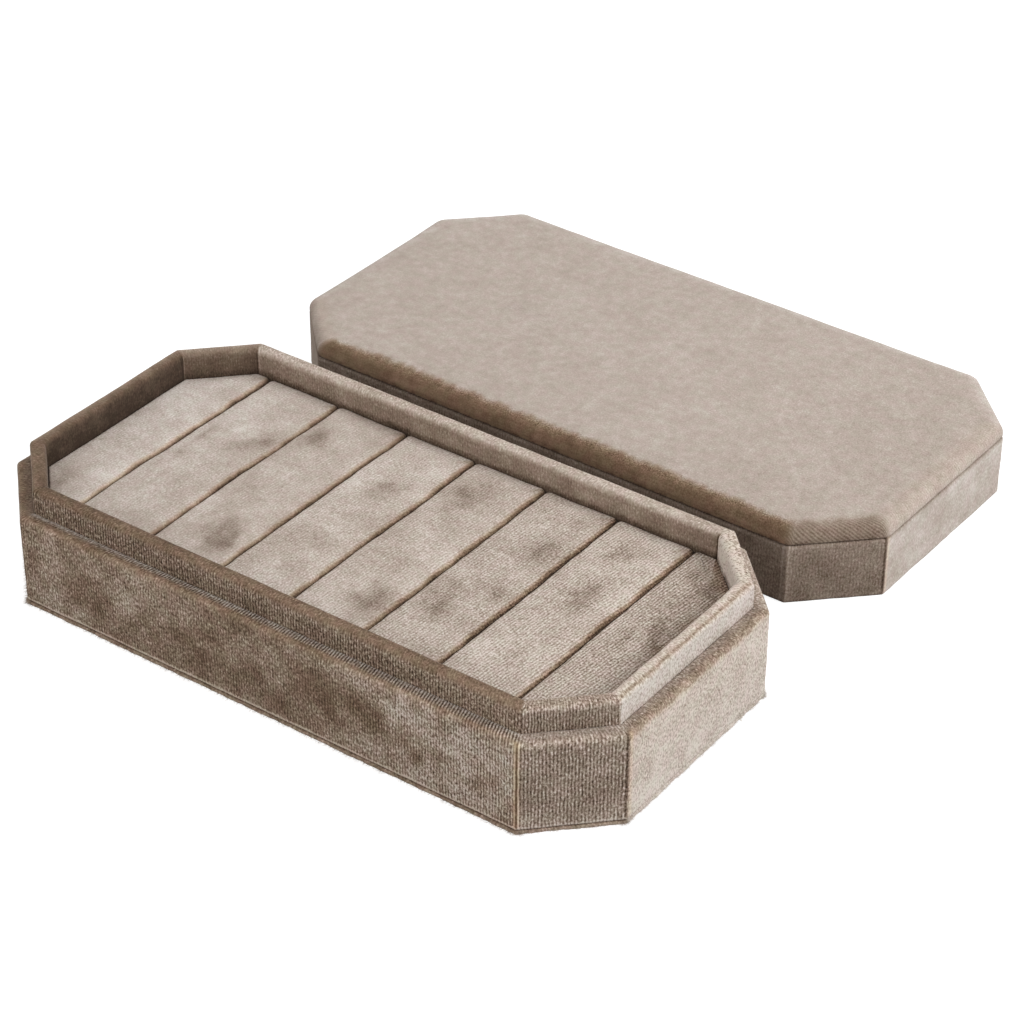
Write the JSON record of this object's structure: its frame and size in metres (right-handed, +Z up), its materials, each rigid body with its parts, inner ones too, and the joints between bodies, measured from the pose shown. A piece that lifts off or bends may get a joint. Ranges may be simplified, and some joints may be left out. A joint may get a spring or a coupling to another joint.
{
  "type": "travel jewelry box",
  "caption": "Octagonal velvet travel jewelry box: a tray of ring rolls inside a raised collar, and its lift-off padded lid lying beside it.",
  "frame": {"origin": "centre of the base's underside, on the table", "axes": "+X along the box's long side, +Y across it from the base towards the lid that lies beside it, +Z up"},
  "size_m": [0.1823, 0.2011, 0.0316],
  "materials": {
    "wall_velvet": "matte ribbed velvet, its pile lying so that it looks dark from the front",
    "cushion_velvet": "matte velvet with disturbed nap",
    "pad_velvet": "matte velvet, light nap",
    "lining_velvet": "matte velvet",
    "bottom_cloth": "matte short-pile cloth",
    "greyboard": "matte",
    "card": "matte",
    "foam": "matte open cells"
  },
  "bodies": {
    "base": {"bottom_cover": "bottom_cloth", "bottom_board": "greyboard", "shell_board_front": "greyboard", "shell_board_front_right": "greyboard", "shell_board_right": "greyboard", "shell_board_back_right": "greyboard", "shell_board_back": "greyboard", "shell_board_back_left": "greyboard", "shell_board_left": "greyboard", "shell_board_front_left": "greyboard", "shell_velvet": "wall_velvet", "floor_board": "greyboard", "collar_board_front": "greyboard", "collar_board_front_right": "greyboard", "collar_board_right": "greyboard", "collar_board_back_right": "greyboard", "collar_board_back": "greyboard", "collar_board_back_left": "greyboard", "collar_board_left": "greyboard", "collar_board_front_left": "greyboard", "collar_velvet": "wall_velvet", "insert_card": "card", "ring_roll_foam_1": "foam", "ring_roll_foam_2": "foam", "ring_roll_foam_3": "foam", "ring_roll_foam_4": "foam", "ring_roll_foam_5": "foam", "ring_roll_foam_6": "foam", "ring_roll_foam_7": "foam", "ring_roll_foam_8": "foam", "ring_roll_cover_1": "cushion_velvet", "ring_roll_cover_2": "cushion_velvet", "ring_roll_cover_3": "cushion_velvet", "ring_roll_cover_4": "cushion_velvet", "ring_roll_cover_5": "cushion_velvet", "ring_roll_cover_6": "cushion_velvet", "ring_roll_cover_7": "cushion_velvet", "ring_roll_cover_8": "cushion_velvet"},
    "lid": {"lid_board_front": "greyboard", "lid_board_front_right": "greyboard", "lid_board_right": "greyboard", "lid_board_back_right": "greyboard", "lid_board_back": "greyboard", "lid_board_back_left": "greyboard", "lid_board_left": "greyboard", "lid_board_front_left": "greyboard", "lid_top_board": "greyboard", "lid_side_velvet": "wall_velvet", "lid_lining_card": "card", "lid_lining_velvet": "lining_velvet", "lid_pad_card": "card", "lid_pad_foam": "foam", "lid_pad_velvet": "pad_velvet"}
  },
  "joints": [
    {"name": "lid_lift", "type": "slide", "parent": "base", "child": "lid", "axis": [0, 0, 1], "range_m": [0, 0.06]}
  ]
}
